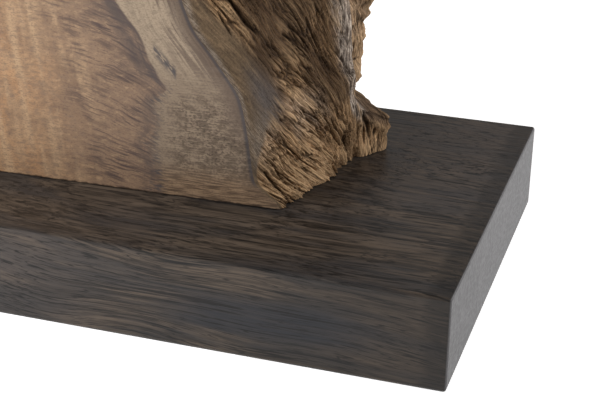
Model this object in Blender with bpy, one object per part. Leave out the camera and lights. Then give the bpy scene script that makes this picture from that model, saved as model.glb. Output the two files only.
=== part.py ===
"""A weathered piece of bog oak standing on a dark oak board, screwed on from below.

The wood is the butt of an old trunk. Its front is sawn flat, the rest is its own outside, worn to ridges along the
grain, with a toe at each end of the foot and a broken, splintered top. All sizes are in millimetres, and MM turns
them into Blender's metres. X runs along the board, Y goes back from the sawn face, and Z is up from the underside
of the board, whose centre is the origin.
"""

import math

import bmesh
import bpy
import numpy as np
from mathutils import Matrix, Vector
from mathutils.geometry import delaunay_2d_cdt

MM = 0.001

# The board
BOARD_LENGTH = 360.0
BOARD_DEPTH = 185.0
BOARD_THICKNESS = 40.0
BOARD_EDGE = 1.2

# What holds the wood on the board
SEAT_GAP = 0.3
SCREW_PLACES = {"left": (-70.0, 8.0), "right": (70.0, 8.0), "front": (0.0, -18.0)}
SCREW_LENGTH = 66.0
SCREW_RADIUS = 3.0
SCREW_TIP = 8.0
TIP_RADIUS = 0.5
HEAD_RADIUS = 6.0
HEAD_THICKNESS = 4.0
HEAD_EDGE = 0.8
SOCKET_RADIUS = 2.5
SOCKET_DEPTH = 2.2
SINK_RADIUS = 7.0
SINK_DEPTH = 12.0
HOLE_SLACK = 0.3
OVERCUT = 5.0
ROUND_SIDES = 20

# Edges that turn by more than this stay sharp in the shading
SHARP_DEGREES = 35.0

# The sawn face lies in a plane that turns a little from the board's front edge
FACE_Y = -42.3
FACE_TURN = 0.027

# Distances round the wood's girth are taken at this height above the board
GIRTH_HEIGHT = 60.0

# The wood's natural outside, as ribs that run up it: (height above the board, x, y). They go round from the sawn
# face's right edge by the back to its left edge. The two edges lie in the sawn face, so their y is worked out.
RIBS = {
    "right_arris": (
        (0, 96), (2, 95), (4, 92.5), (7, 88.5), (10, 85.4), (13, 84.4), (30, 82), (45, 79), (60, 69.5), (75, 58.5),
        (95, 52), (140, 46), (200, 41), (260, 27), (340, 4),
    ),
    "right_slope": (
        (0, 100, -22), (12, 96, -21.5), (30, 92, -21), (60, 83, -21), (90, 75, -20), (140, 68, -18), (200, 62, -16), (260, 45, -13),
        (340, 18, -6),
    ),
    "right_hollow": (
        (0, 105.5, -1.5), (30, 96, -2), (60, 88, -3), (90, 84, -2), (140, 80, 0), (200, 73, 2), (260, 54, 3), (340, 26, 4),
    ),
    "right_ridge": (
        (0, 108, 19), (15, 108, 20), (28, 107, 22), (36, 107, 21), (45, 106, 19), (60, 105, 18), (90, 104, 16),
        (140, 107, 13), (200, 98, 12), (260, 75, 12), (340, 35, 10),
    ),
    "right_cleft": (
        (0, 110, 27), (20, 109, 28), (28, 105, 31), (45, 102, 32), (60, 102, 31), (90, 103, 30), (140, 105, 27),
        (200, 94, 25), (260, 72, 22), (340, 36, 16),
    ),
    "right_toe": (
        (0, 120.7, 41), (7, 121, 41), (11, 122.4, 41), (15, 121.6, 41), (19, 117.3, 41.5), (22, 111.5, 43),
        (25, 105.5, 45), (36, 104.5, 46), (60, 107.5, 46), (90, 113, 45), (140, 119, 40), (200, 103, 37),
        (260, 78, 32), (340, 35, 22),
    ),
    "back_right_corner": (
        (0, 106, 57), (10, 105, 57), (25, 97, 56), (60, 97, 56), (90, 98, 54), (140, 99, 51), (200, 88, 46),
        (260, 66, 40), (340, 30, 27),
    ),
    "back_right_flute": (
        (0, 72, 53), (30, 70, 50), (90, 68, 48), (140, 66, 45), (200, 58, 41), (260, 44, 36), (340, 20, 26),
    ),
    "back_right_rib": (
        (0, 40, 63), (30, 38, 58), (90, 34, 56), (140, 30, 53), (200, 26, 49), (260, 16, 43), (340, 2, 30),
    ),
    "back_middle_flute": (
        (0, 2, 53), (30, 0, 49), (90, -4, 47), (140, -6, 45), (200, -8, 42), (260, -14, 37), (340, -20, 27),
    ),
    "back_left_rib": (
        (0, -42, 64), (30, -42, 58), (90, -44, 55), (140, -46, 52), (200, -46, 47), (260, -46, 40), (340, -38, 27),
    ),
    "back_left_corner": (
        (0, -92, 56), (30, -86, 51), (90, -84, 46), (140, -84, 42), (200, -80, 37), (260, -72, 31), (340, -54, 20),
    ),
    "left_toe": (
        (0, -121, 26), (12, -116, 25), (30, -107, 22), (60, -102, 19), (90, -100, 17), (140, -98, 14), (200, -92, 12),
        (260, -81, 9), (340, -59, 6),
    ),
    "left_hollow": (
        (0, -112, -6), (30, -102, -6), (60, -98, -7), (90, -95, -8), (140, -93, -10), (200, -88, -12),
        (260, -78, -12), (340, -58, -10),
    ),
    "left_arris": ((0, -108), (30, -100), (60, -95), (90, -91), (140, -88), (200, -83), (260, -73), (340, -53)),
}
LAST_RIB = len(RIBS) - 1

# The broken top: the crest's height above the board along X, how steeply it falls away to front and back, and the
# lumps on it as (width, height, seed)
CREST = (
    (-130, 80), (-104, 176), (-90, 238), (-74, 284), (-56, 324), (-38, 347), (-20, 336), (-4, 306), (14, 262),
    (30, 224), (46, 196), (58, 200), (72, 238), (86, 252), (98, 232), (112, 214), (130, 196),
)
CREST_Y = 2.0
CREST_HALF_WIDTH = 4.0
CREST_FALL = 0.85
CREST_LUMPS = ((31.0, 12.0, 11), (14.0, 12.0, 12), (7.0, 9.0, 13))
LUMP_ASPECT = 0.7

# The top's rim is found by stepping up and down from RIM_START, and no notch in it is steeper than RIM_SLOPE. Rows
# above RIM_BLEND of the height bend to meet it, and the top meets it within about RIM_REACH.
RIM_START = 200.0
RIM_STEPS = 60
RIM_SLOPE = 2.0
RIM_SMOOTHING = 22.0
RIM_BLEND = 0.45
RIM_REACH = 9.0

# Relief along the grain: (spacing across the fibres, length along them, height, seed)
FLUTES = (25.0, 170.0, 5.0, 21)
RIDGES = (11.0, 60.0, 3.0, 22)
FAN_RIDGES = (7.5, 34.0, 3.0, 23)
EDGE_FADE = 9.0

# On the right side the fibres lean out as they come down, most at the foot, and stand upright again by FAN_END, a
# distance round the girth from the sawn face. Beyond it they all lean a little the other way.
FAN_END = 84.0
FAN_EDGE = 14.0
LEAN = 0.55
LEAN_SPAN = 130.0
FOOT_LEAN = 0.65
FOOT_LEAN_SPAN = 18.0
BACK_LEAN = 0.08

# The grey ridge that runs up the right side, and the hollow before it, both as (distance round the girth, height)
RIDGE_LINE = ((68.4, 95), (68.4, 75), (69.9, 66), (70.8, 56), (70.9, 48), (72.7, 40), (75, 34))
RIDGE_RISE = 2.6
RIDGE_HALF_WIDTH = 3.4
HOLLOW_MIDDLE = (57.5, 56.0)
HOLLOW_HALF_SIZE = (9.0, 27.0)
HOLLOW_DEPTH = 3.2

# The mesh: columns between one rib and the next, and on the sawn face, then rows and the top's grid
COLUMNS = (7, 6, 8, 4, 5, 5, 6, 7, 7, 8, 8, 7, 6, 7)
FACE_COLUMNS = 14
ROWS = 48
ROW_SPREAD = 1.25
TOP_GRID = 7.5
TOP_MARGIN = 0.55 * TOP_GRID

COLOURS = {
    "bog_oak": ((0.20, 0.13, 0.08), 0.75, 0.0),
    "board": ((0.055, 0.045, 0.038), 0.45, 0.0),
    "screw": ((0.42, 0.42, 0.43), 0.35, 1.0),
}


def clear_scene():
    for obj in list(bpy.data.objects):
        bpy.data.objects.remove(obj)


def material(name):
    """A plain finish with the named colour, roughness and metallic value."""
    colour, roughness, metallic = COLOURS[name]
    made = bpy.data.materials.new(name)
    made.use_nodes = True
    shader = made.node_tree.nodes["Principled BSDF"]
    shader.inputs["Base Color"].default_value = (*colour, 1.0)
    shader.inputs["Roughness"].default_value = roughness
    shader.inputs["Metallic"].default_value = metallic
    made.diffuse_color = (*colour, 1.0)
    return made


# Curves and repeatable noise


def hermite(a, b, slope_a, slope_b, t):
    return (
        (2 * t**3 - 3 * t**2 + 1) * a
        + (t**3 - 2 * t**2 + t) * slope_a
        + (3 * t**2 - 2 * t**3) * b
        + (t**3 - t**2) * slope_b
    )


def smooth_curve(knots, values, at):
    """A curve through the values that never overshoots them."""
    knots = np.asarray(knots, float)
    values = np.asarray(values, float)
    step = np.diff(knots)
    rise = np.diff(values) / step
    slope = np.zeros_like(values)
    steady = rise[:-1] * rise[1:] > 0
    middle = np.where(steady, rise[:-1] + rise[1:], 1.0)
    slope[1:-1] = np.where(steady, 2 * rise[:-1] * rise[1:] / middle, 0.0)
    slope[0], slope[-1] = rise[0], rise[-1]
    at = np.clip(at, knots[0], knots[-1])
    i = np.clip(np.searchsorted(knots, at, side="right") - 1, 0, len(step) - 1)
    t = (at - knots[i]) / step[i]
    return hermite(values[i], values[i + 1], slope[i] * step[i], slope[i + 1] * step[i], t)


def smoothstep(low, high, value):
    t = np.clip((value - low) / (high - low), 0.0, 1.0)
    return t * t * (3 - 2 * t)


def lattice(ix, iy, seed):
    """A repeatable value from 0 to 1 for each pair of whole numbers."""
    mixed = (ix * 374761393 + iy * 668265263 + seed * 974634777) & 0xFFFFFFFF
    mixed = ((mixed ^ (mixed >> 13)) * 1274126177) & 0xFFFFFFFF
    return ((mixed ^ (mixed >> 16)) & 0xFFFFFF) / 0xFFFFFF


def noise(a, b, seed):
    """Smooth noise from 0 to 1, with one bump to each unit of a and b."""
    ia, ib = np.floor(a).astype(np.int64), np.floor(b).astype(np.int64)
    ta, tb = a - ia, b - ib
    ta, tb = ta * ta * (3 - 2 * ta), tb * tb * (3 - 2 * tb)
    low = lattice(ia, ib, seed) * (1 - ta) + lattice(ia + 1, ib, seed) * ta
    high = lattice(ia, ib + 1, seed) * (1 - ta) + lattice(ia + 1, ib + 1, seed) * ta
    return low * (1 - tb) + high * tb


def crests(a, b, seed):
    """Noise folded into sharp crests, from -1 in the valleys to 1 on the crests."""
    return 1 - 4 * np.abs(noise(a, b, seed) - 0.5)


# The wood's bare form


def face_y(x):
    return FACE_Y + FACE_TURN * x


def rib_points(z):
    """Where each rib is at each height z: two arrays, one row for each rib."""
    xs, ys = [], []
    for stations in RIBS.values():
        heights = [s[0] for s in stations]
        xs.append(smooth_curve(heights, [s[1] for s in stations], z))
        if len(stations[0]) == 3:
            ys.append(smooth_curve(heights, [s[2] for s in stations], z))
        else:
            ys.append(face_y(xs[-1]))
    return np.array(xs), np.array(ys)


def wall_point(rib, z):
    """The bare wall at rib number rib and height z, both arrays. Past the last rib it crosses the sawn face."""
    xs, ys = rib_points(z)
    chord = np.hypot(np.diff(xs, axis=0), np.diff(ys, axis=0))
    k = np.clip(np.floor(rib).astype(int), 0, LAST_RIB - 1)
    t = np.clip(rib - k, 0.0, 1.0)
    each = np.arange(len(z))
    out = []
    for p in (xs, ys):
        slope = np.empty_like(p)
        slope[1:-1] = (p[2:] - p[:-2]) / (chord[1:] + chord[:-1])
        slope[0] = (p[1] - p[0]) / chord[0]
        slope[-1] = (p[-1] - p[-2]) / chord[-1]
        here = chord[k, each]
        out.append(hermite(p[k, each], p[k + 1, each], slope[k, each] * here, slope[k + 1, each] * here, t))
    x, y = out
    across = rib - LAST_RIB
    face_x = xs[-1] + (xs[0] - xs[-1]) * across
    return np.where(across > 0, face_x, x), np.where(across > 0, face_y(face_x), y)


def wall_normal(rib, z):
    """The level outward normal of the natural wall."""
    step = 0.03
    x0, y0 = wall_point(np.maximum(rib - step, 0), z)
    x1, y1 = wall_point(np.minimum(rib + step, LAST_RIB), z)
    length = np.maximum(np.hypot(x1 - x0, y1 - y0), 1e-6)
    return (y1 - y0) / length, -(x1 - x0) / length


def girth(rib):
    """How far round the wall each rib number is from the sawn face's right edge."""
    fine = np.linspace(0, LAST_RIB, 40 * LAST_RIB + 1)
    x, y = wall_point(fine, np.full_like(fine, GIRTH_HEIGHT))
    run = np.concatenate([[0], np.cumsum(np.hypot(np.diff(x), np.diff(y)))])
    return np.interp(rib, fine, run)


def swell(kind, across, z):
    """Rounded crests along the fibres, from minus to plus half their height."""
    spacing, length, height, seed = kind
    return 0.5 * height * crests(across / spacing, z / length, seed)


def line_distance(s, z, line):
    """How far each place is from a broken line."""
    nearest = np.full_like(s, np.inf)
    for (s0, z0), (s1, z1) in zip(line, line[1:]):
        along = ((s - s0) * (s1 - s0) + (z - z0) * (z1 - z0)) / ((s1 - s0) ** 2 + (z1 - z0) ** 2)
        along = np.clip(along, 0, 1)
        distance = np.hypot(s - s0 - along * (s1 - s0), z - z0 - along * (z1 - z0))
        nearest = np.minimum(nearest, distance)
    return nearest


def relief(s, z, total_girth):
    """How far the weathered outside stands out from the bare form. s is the distance round the girth."""
    share = np.clip(s / FAN_END, 0, 0.97)
    gathered = FAN_END * 0.5 * (np.arctan(share) + np.arctanh(share))
    leaned = LEAN * LEAN_SPAN * np.arctan(z / LEAN_SPAN)
    leaned = leaned + FOOT_LEAN * FOOT_LEAN_SPAN * (1 - np.exp(-z / FOOT_LEAN_SPAN))
    straight = s + BACK_LEAN * z
    beyond = smoothstep(FAN_END - 2 * FAN_EDGE, FAN_END - FAN_EDGE, s)
    out = beyond * (swell(FLUTES, straight, z) + swell(RIDGES, straight, z))
    out = out + (1 - beyond) * swell(FAN_RIDGES, gathered + leaned, z)
    out = out * smoothstep(0.0, EDGE_FADE, np.minimum(s, total_girth - s))

    ridge = np.exp(-((line_distance(s, z, RIDGE_LINE) / RIDGE_HALF_WIDTH) ** 2))
    across = (s - HOLLOW_MIDDLE[0]) / HOLLOW_HALF_SIZE[0]
    up = (z - HOLLOW_MIDDLE[1]) / HOLLOW_HALF_SIZE[1]
    hollow = smoothstep(1.0, 0.15, np.hypot(across, up))
    return out + RIDGE_RISE * ridge - HOLLOW_DEPTH * hollow


def top_height(x, y):
    """The height of the broken top over x, y."""
    away = np.sqrt((y - CREST_Y) ** 2 + CREST_HALF_WIDTH**2) - CREST_HALF_WIDTH
    knots = [c[0] for c in CREST]
    height = smooth_curve(knots, [c[1] for c in CREST], x) - CREST_FALL * away
    for size, tall, seed in CREST_LUMPS:
        height = height + 0.5 * tall * crests(x / size, y / (LUMP_ASPECT * size), seed)
    return height


def columns():
    """Each column's rib number, from 0 round to just short of LAST_RIB + 1."""
    steps = [k + np.arange(n) / n for k, n in enumerate(COLUMNS)]
    steps.append(LAST_RIB + np.arange(FACE_COLUMNS) / FACE_COLUMNS)
    return np.concatenate(steps)


def rim_height(rib):
    """Where each column meets the broken top, and the same thing smoothed for the rows below."""
    z = np.full_like(rib, RIM_START)
    for _ in range(RIM_STEPS):
        x, y = wall_point(rib, z)
        z = 0.5 * (z + top_height(x, y))
    x, y = wall_point(rib, np.full_like(rib, RIM_START))
    steps = np.hypot(np.roll(x, -1) - x, np.roll(y, -1) - y)
    run = np.concatenate([[0], np.cumsum(steps)[:-1]])
    apart = np.abs(run[:, None] - run[None, :])
    apart = np.minimum(apart, steps.sum() - apart)
    z = np.max(z[None, :] - RIM_SLOPE * apart, axis=1)
    weight = np.exp(-((apart / RIM_SMOOTHING) ** 2))
    return z, weight @ z / weight.sum(axis=1)


def wood_wall():
    """The wall as a grid of points, ROWS + 1 by the number of columns."""
    rib = columns()
    exact, smooth = rim_height(rib)
    natural = rib <= LAST_RIB
    along = girth(np.minimum(rib, LAST_RIB))
    total = girth(np.array([float(LAST_RIB)]))[0]
    grid = []
    for row in range(ROWS + 1):
        share = (row / ROWS) ** ROW_SPREAD
        z = share * smooth + (exact - smooth) * smoothstep(RIM_BLEND, 1.0, share)
        x, y = wall_point(rib, z)
        nx, ny = wall_normal(np.minimum(rib, LAST_RIB), z)
        out = np.where(natural, relief(along, z, total), 0.0)
        grid.append(np.stack([x + nx * out, y + ny * out, z], axis=1))
    return np.array(grid)


def inside(points, ring, margin):
    """The points that lie in the ring and at least margin away from each of its corners."""
    kept = []
    for x, y in points:
        crossings = 0
        for (x0, y0), (x1, y1) in zip(ring, np.roll(ring, -1, axis=0)):
            if (y0 > y) != (y1 > y) and x < x0 + (y - y0) * (x1 - x0) / (y1 - y0):
                crossings += 1
        near = np.min(np.hypot(ring[:, 0] - x, ring[:, 1] - y))
        if crossings % 2 and near > margin:
            kept.append((x, y))
    return kept


def wood_top(rim):
    """The broken top inside the rim: extra points, and triangles that count the rim's points first."""
    ring = rim[:, :2]
    low, high = ring.min(axis=0), ring.max(axis=0)
    grid = [
        (x, y)
        for x in np.arange(low[0], high[0], TOP_GRID)
        for y in np.arange(low[1], high[1], TOP_GRID)
    ]
    extra = inside(grid, ring, TOP_MARGIN)
    points = [Vector(p) for p in ring] + [Vector(p) for p in extra]
    count = len(ring)
    edges = [(i, (i + 1) % count) for i in range(count)]
    _, _, faces, _, _, _ = delaunay_2d_cdt(points, edges, [], 1, 1e-6)
    extra = np.array(extra)
    heights = top_height(extra[:, 0], extra[:, 1])

    # Lead the top's height up to the rim's where the two differ
    missing = rim[:, 2] - top_height(ring[:, 0], ring[:, 1])
    apart = np.hypot(extra[:, None, 0] - ring[None, :, 0], extra[:, None, 1] - ring[None, :, 1])
    weight = 1 / (apart + 0.5) ** 3
    share = np.exp(-apart.min(axis=1) / RIM_REACH)
    heights = heights + share * (weight @ missing) / weight.sum(axis=1)
    return np.column_stack([extra, heights]), faces


def wood_mesh():
    """The whole piece as one closed mesh, standing on the board."""
    grid = wood_wall()
    rows, count, _ = grid.shape
    extra, top_faces = wood_top(grid[-1])
    points = np.concatenate([grid.reshape(-1, 3), extra])
    points[:, 2] += BOARD_THICKNESS + SEAT_GAP
    faces = [tuple(reversed(range(count)))]
    for r in range(rows - 1):
        for c in range(count):
            d = (c + 1) % count
            faces.append((r * count + c, r * count + d, (r + 1) * count + d, (r + 1) * count + c))
    rim_start = (rows - 1) * count
    for face in top_faces:
        faces.append(tuple(rim_start + i for i in face))
    mesh = bpy.data.meshes.new("bog_oak")
    mesh.from_pydata([Vector(p) * MM for p in points], [], faces)
    bm = bmesh.new()
    bm.from_mesh(mesh)
    bmesh.ops.triangulate(bm, faces=bm.faces)
    bmesh.ops.recalc_face_normals(bm, faces=bm.faces)
    bm.to_mesh(mesh)
    bm.free()
    return mesh


# The made pieces


def add_object(name, mesh, colour):
    obj = bpy.data.objects.new(name, mesh)
    bpy.context.scene.collection.objects.link(obj)
    mesh.materials.append(colour)
    mesh.shade_smooth()
    mesh.set_sharp_from_angle(angle=math.radians(SHARP_DEGREES))
    return obj


def turned_mesh(name, profile, sides=ROUND_SIDES):
    """A closed solid turned about Z from (radius, height) pairs, given from the bottom up."""
    bm = bmesh.new()
    rings = []
    angles = [2 * math.pi * i / sides for i in range(sides)]
    for radius, height in profile:
        corners = [Vector((radius * math.cos(a), radius * math.sin(a), height)) * MM for a in angles]
        rings.append([bm.verts.new(c) for c in corners])
    for low, high in zip(rings, rings[1:]):
        for i in range(sides):
            j = (i + 1) % sides
            bm.faces.new((low[i], low[j], high[j], high[i]))
    bm.faces.new(tuple(reversed(rings[0])))
    bm.faces.new(tuple(rings[-1]))
    mesh = bpy.data.meshes.new(name)
    bm.to_mesh(mesh)
    bm.free()
    return mesh


def cutter(name, profile, place, sides=ROUND_SIDES):
    """A turned shape that only cuts others."""
    obj = bpy.data.objects.new(name, turned_mesh(name, profile, sides))
    bpy.context.scene.collection.objects.link(obj)
    obj.location = Vector((place[0], place[1], 0.0)) * MM
    obj.display_type = "WIRE"
    obj.hide_render = True
    return obj


def cut(obj, tool):
    modifier = obj.modifiers.new(tool.name, "BOOLEAN")
    modifier.operation = "DIFFERENCE"
    modifier.object = tool


def make_board(colour):
    mesh = bpy.data.meshes.new("base_board")
    bm = bmesh.new()
    bmesh.ops.create_cube(bm, size=1.0)
    size = Matrix.Diagonal((BOARD_LENGTH * MM, BOARD_DEPTH * MM, BOARD_THICKNESS * MM, 1.0))
    bmesh.ops.transform(bm, matrix=size, verts=bm.verts)
    bmesh.ops.translate(bm, vec=(0.0, 0.0, 0.5 * BOARD_THICKNESS * MM), verts=bm.verts)
    bm.to_mesh(mesh)
    bm.free()
    board = add_object("base_board", mesh, colour)
    bevel = board.modifiers.new("eased_edges", "BEVEL")
    bevel.width = BOARD_EDGE * MM
    bevel.segments = 2
    shaft = SCREW_RADIUS + HOLE_SLACK
    for name, place in SCREW_PLACES.items():
        cut(board, cutter(f"hole_{name}", [(shaft, -OVERCUT), (shaft, BOARD_THICKNESS + OVERCUT)], place))
        cut(board, cutter(f"sink_{name}", [(SINK_RADIUS, -OVERCUT), (SINK_RADIUS, SINK_DEPTH)], place))


def make_screw(name, place, colour):
    """A wood screw that points up, its head in the board's counterbore."""
    seat = SINK_DEPTH - SEAT_GAP
    end = seat + SCREW_LENGTH
    bottom = seat - HEAD_THICKNESS
    profile = [
        (HEAD_RADIUS - HEAD_EDGE, bottom),
        (HEAD_RADIUS, bottom + HEAD_EDGE),
        (HEAD_RADIUS, seat),
        (SCREW_RADIUS, seat),
        (SCREW_RADIUS, end - SCREW_TIP),
        (TIP_RADIUS, end),
    ]
    screw = add_object(f"fixing_screw_{name}", turned_mesh(f"fixing_screw_{name}", profile), colour)
    screw.location = Vector((place[0], place[1], 0.0)) * MM
    socket = [(SOCKET_RADIUS, bottom - OVERCUT), (SOCKET_RADIUS, bottom + SOCKET_DEPTH)]
    cut(screw, cutter(f"socket_{name}", socket, place, sides=6))


def make_wood(colour):
    wood = add_object("bog_oak", wood_mesh(), colour)
    radius = SCREW_RADIUS + HOLE_SLACK
    end = SINK_DEPTH - SEAT_GAP + SCREW_LENGTH + HOLE_SLACK
    for name, place in SCREW_PLACES.items():
        cut(wood, cutter(f"pilot_{name}", [(radius, BOARD_THICKNESS - OVERCUT), (radius, end)], place))


def main():
    clear_scene()
    make_board(material("board"))
    make_wood(material("bog_oak"))
    steel = material("screw")
    for name, place in SCREW_PLACES.items():
        make_screw(name, place, steel)


main()
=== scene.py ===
"""The looks of a piece of bog oak screwed upright on a dark oak board.

The wood's front is sawn and sanded. The rest is its own outside, worn to ridges along the grain. Lengths are
in millimetres unless a comment says otherwise, and MM turns them into metres. Heights on the wood are above
the board, and heights in the materials are above the board's underside.
"""

import math

import bmesh
import bpy
import numpy as np
from mathutils import Matrix, Vector
from mathutils.geometry import delaunay_2d_cdt


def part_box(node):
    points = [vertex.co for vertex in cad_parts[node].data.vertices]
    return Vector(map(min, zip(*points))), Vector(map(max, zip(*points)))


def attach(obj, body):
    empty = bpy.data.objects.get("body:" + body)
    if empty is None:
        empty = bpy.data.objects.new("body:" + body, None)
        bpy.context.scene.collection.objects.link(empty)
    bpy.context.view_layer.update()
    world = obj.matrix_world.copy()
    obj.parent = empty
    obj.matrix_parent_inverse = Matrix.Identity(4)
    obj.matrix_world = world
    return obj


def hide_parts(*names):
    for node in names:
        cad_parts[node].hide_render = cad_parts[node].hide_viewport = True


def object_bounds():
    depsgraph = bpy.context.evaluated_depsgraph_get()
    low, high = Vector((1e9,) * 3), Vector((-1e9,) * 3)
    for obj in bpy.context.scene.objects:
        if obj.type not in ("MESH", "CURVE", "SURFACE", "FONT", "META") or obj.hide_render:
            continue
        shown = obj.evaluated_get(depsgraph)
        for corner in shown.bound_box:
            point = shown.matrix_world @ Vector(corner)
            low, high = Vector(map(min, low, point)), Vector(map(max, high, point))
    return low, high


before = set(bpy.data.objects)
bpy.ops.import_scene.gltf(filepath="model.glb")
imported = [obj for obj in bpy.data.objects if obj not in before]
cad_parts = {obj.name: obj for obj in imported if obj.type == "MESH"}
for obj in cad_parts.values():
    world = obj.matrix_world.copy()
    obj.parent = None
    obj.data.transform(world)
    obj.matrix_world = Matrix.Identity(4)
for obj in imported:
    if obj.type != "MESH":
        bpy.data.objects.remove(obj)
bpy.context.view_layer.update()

MM = 0.001

# The height of the wood's seat on the board, read from the frame
WOOD_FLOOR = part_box("bog_oak")[0].z / MM

# The sawn face lies in a plane that turns a little from the board's front edge
FACE_Y = -42.3
FACE_TURN = 0.027

# The girth is measured at this height above the board, in so many steps from rib to rib
GIRTH_HEIGHT = 60.0
GIRTH_STEPS = 40

# The wood's natural outside, as ribs that run up it: (height above the board, x, y). They go round from the
# sawn face's right edge by the back to its left edge. The two edges lie in the sawn face, so their y is
# worked out.
RIBS = {
    "right_arris": (
        (0, 96), (2, 95), (4, 92.5), (7, 88.5), (10, 85.4), (13, 84.4), (30, 82), (45, 79), (60, 69.5),
        (75, 58.5), (95, 52), (140, 46), (200, 41), (260, 27), (340, 4),
    ),
    "right_slope": (
        (0, 100, -22), (12, 96, -21.5), (30, 92, -21), (60, 83, -21), (90, 75, -20), (140, 68, -18),
        (200, 62, -16), (260, 45, -13), (340, 18, -6),
    ),
    "right_hollow": (
        (0, 105.5, -1.5), (30, 96, -2), (60, 88, -3), (90, 84, -2), (140, 80, 0), (200, 73, 2),
        (260, 54, 3), (340, 26, 4),
    ),
    "right_ridge": (
        (0, 108, 19), (15, 108, 20), (28, 107, 22), (36, 107, 21), (45, 106, 19), (60, 105, 18),
        (90, 104, 16), (140, 107, 13), (200, 98, 12), (260, 75, 12), (340, 35, 10),
    ),
    "right_cleft": (
        (0, 110, 27), (20, 109, 28), (28, 105, 31), (45, 102, 32), (60, 102, 31), (90, 103, 30),
        (140, 105, 27), (200, 94, 25), (260, 72, 22), (340, 36, 16),
    ),
    "right_toe": (
        (0, 120.7, 41), (7, 121, 41), (11, 122.4, 41), (15, 121.6, 41), (19, 117.3, 41.5), (22, 111.5, 43),
        (25, 105.5, 45), (36, 104.5, 46), (60, 107.5, 46), (90, 113, 45), (140, 119, 40), (200, 103, 37),
        (260, 78, 32), (340, 35, 22),
    ),
    "back_right_corner": (
        (0, 106, 57), (10, 105, 57), (25, 97, 56), (60, 97, 56), (90, 98, 54), (140, 99, 51), (200, 88, 46),
        (260, 66, 40), (340, 30, 27),
    ),
    "back_right_flute": (
        (0, 72, 53), (30, 70, 50), (90, 68, 48), (140, 66, 45), (200, 58, 41), (260, 44, 36), (340, 20, 26),
    ),
    "back_right_rib": (
        (0, 40, 63), (30, 38, 58), (90, 34, 56), (140, 30, 53), (200, 26, 49), (260, 16, 43), (340, 2, 30),
    ),
    "back_middle_flute": (
        (0, 2, 53), (30, 0, 49), (90, -4, 47), (140, -6, 45), (200, -8, 42), (260, -14, 37), (340, -20, 27),
    ),
    "back_left_rib": (
        (0, -42, 64), (30, -42, 58), (90, -44, 55), (140, -46, 52), (200, -46, 47), (260, -46, 40),
        (340, -38, 27),
    ),
    "back_left_corner": (
        (0, -92, 56), (30, -86, 51), (90, -84, 46), (140, -84, 42), (200, -80, 37), (260, -72, 31),
        (340, -54, 20),
    ),
    "left_toe": (
        (0, -121, 26), (12, -116, 25), (30, -107, 22), (60, -102, 19), (90, -100, 17), (140, -98, 14),
        (200, -92, 12), (260, -81, 9), (340, -59, 6),
    ),
    "left_hollow": (
        (0, -112, -6), (30, -102, -6), (60, -98, -7), (90, -95, -8), (140, -93, -10), (200, -88, -12),
        (260, -78, -12), (340, -58, -10),
    ),
    "left_arris": (
        (0, -108), (30, -100), (60, -95), (90, -91), (140, -88), (200, -83), (260, -73), (340, -53),
    ),
}
LAST_RIB = len(RIBS) - 1

# The broken top: the crest's height above the board along X, how steeply it falls away to front and back, and
# the lumps on it as (width, height, seed)
CREST = (
    (-130, 80), (-104, 176), (-90, 238), (-74, 284), (-56, 324), (-38, 347), (-20, 336), (-4, 306),
    (14, 262), (30, 224), (46, 196), (58, 200), (72, 238), (86, 252), (98, 232), (112, 214), (130, 196),
)
CREST_Y = 2.0
CREST_HALF_WIDTH = 4.0
CREST_FALL = 0.85
CREST_LUMPS = ((31.0, 12.0, 11), (14.0, 12.0, 12), (7.0, 9.0, 13))
LUMP_ASPECT = 0.7

# Splinters on the broken top: how wide each is along X and Y, how tall, and the seed
SPLINTERS = ((7.0, 2.6, 6.0, 14), (3.2, 1.7, 2.6, 15))

# The top's rim is found by stepping up and down from RIM_START, and no notch in it is steeper than
# RIM_SLOPE. The wall's rows follow a rim smoothed over RIM_SMOOTHING, and above RIM_BLEND of their height
# they bend to meet the real one. The top leads up to it over about RIM_REACH.
RIM_START = 200.0
RIM_STEPS = 60
RIM_SLOPE = 2.0
RIM_SMOOTHING = 22.0
RIM_BLEND = 0.45
RIM_REACH = 9.0

# On the right side the fibres lean out as they come down, most at the foot, and stand upright again by
# FAN_END, a distance round the girth from the sawn face. Beyond it they all lean a little the other way.
FAN_END = 84.0
LEAN = 0.55
LEAN_SPAN = 130.0
FOOT_LEAN = 0.65
FOOT_LEAN_SPAN = 18.0
BACK_LEAN = 0.08

# The fanned fibres give way to the upright ones at TAKEOVER round the girth, and further on at the foot
TAKEOVER = 66.0
TAKEOVER_LOW = 12.0
TAKEOVER_HALF = 6.0

# The waves in the fibres' course: (width, height, seed, how far to the side)
WANDER = ((17, 25, 31, 2.6), (5, 9, 32, 1.0))

# How wide the smooth strip beside the sawn face's edge is at each height
SMOOTH_STRIP = (
    (0, 2), (10, 2), (20, 5), (27, 11), (34, 20), (42, 27), (50, 30), (60, 27), (70, 20), (80, 12), (95, 9),
    (140, 8), (340, 5),
)

# The mesh: how far apart the columns are from one rib to the next, how many cross the sawn face, and how many
# rows the foot and the part above it have. The foot's rows are level, and past NEAR_RIB it needs only every
# second one. The upper rows begin a little closer together, by the power UPPER_SPREAD. The broken top has
# points TOP_GRID apart, at least TOP_MARGIN from its rim's.
COLUMN_SPACING = (0.46, 0.46, 0.46, 0.46, 0.5, 0.6, 1.5, 2.0, 2.0, 2.0, 2.0, 2.0, 2.0, 1.8)
FACE_COLUMNS = 20
FOOT_HEIGHT = 92.0
FOOT_ROWS = 184
UPPER_ROWS = 80
UPPER_SPREAD = 1.1
NEAR_RIB = 6.0
TOP_GRID = 2.4
TOP_MARGIN = 0.55 * TOP_GRID

# Edges that turn by more than this many degrees stay sharp
SHARP_ANGLE = 60


# Curves and repeatable noise


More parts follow.
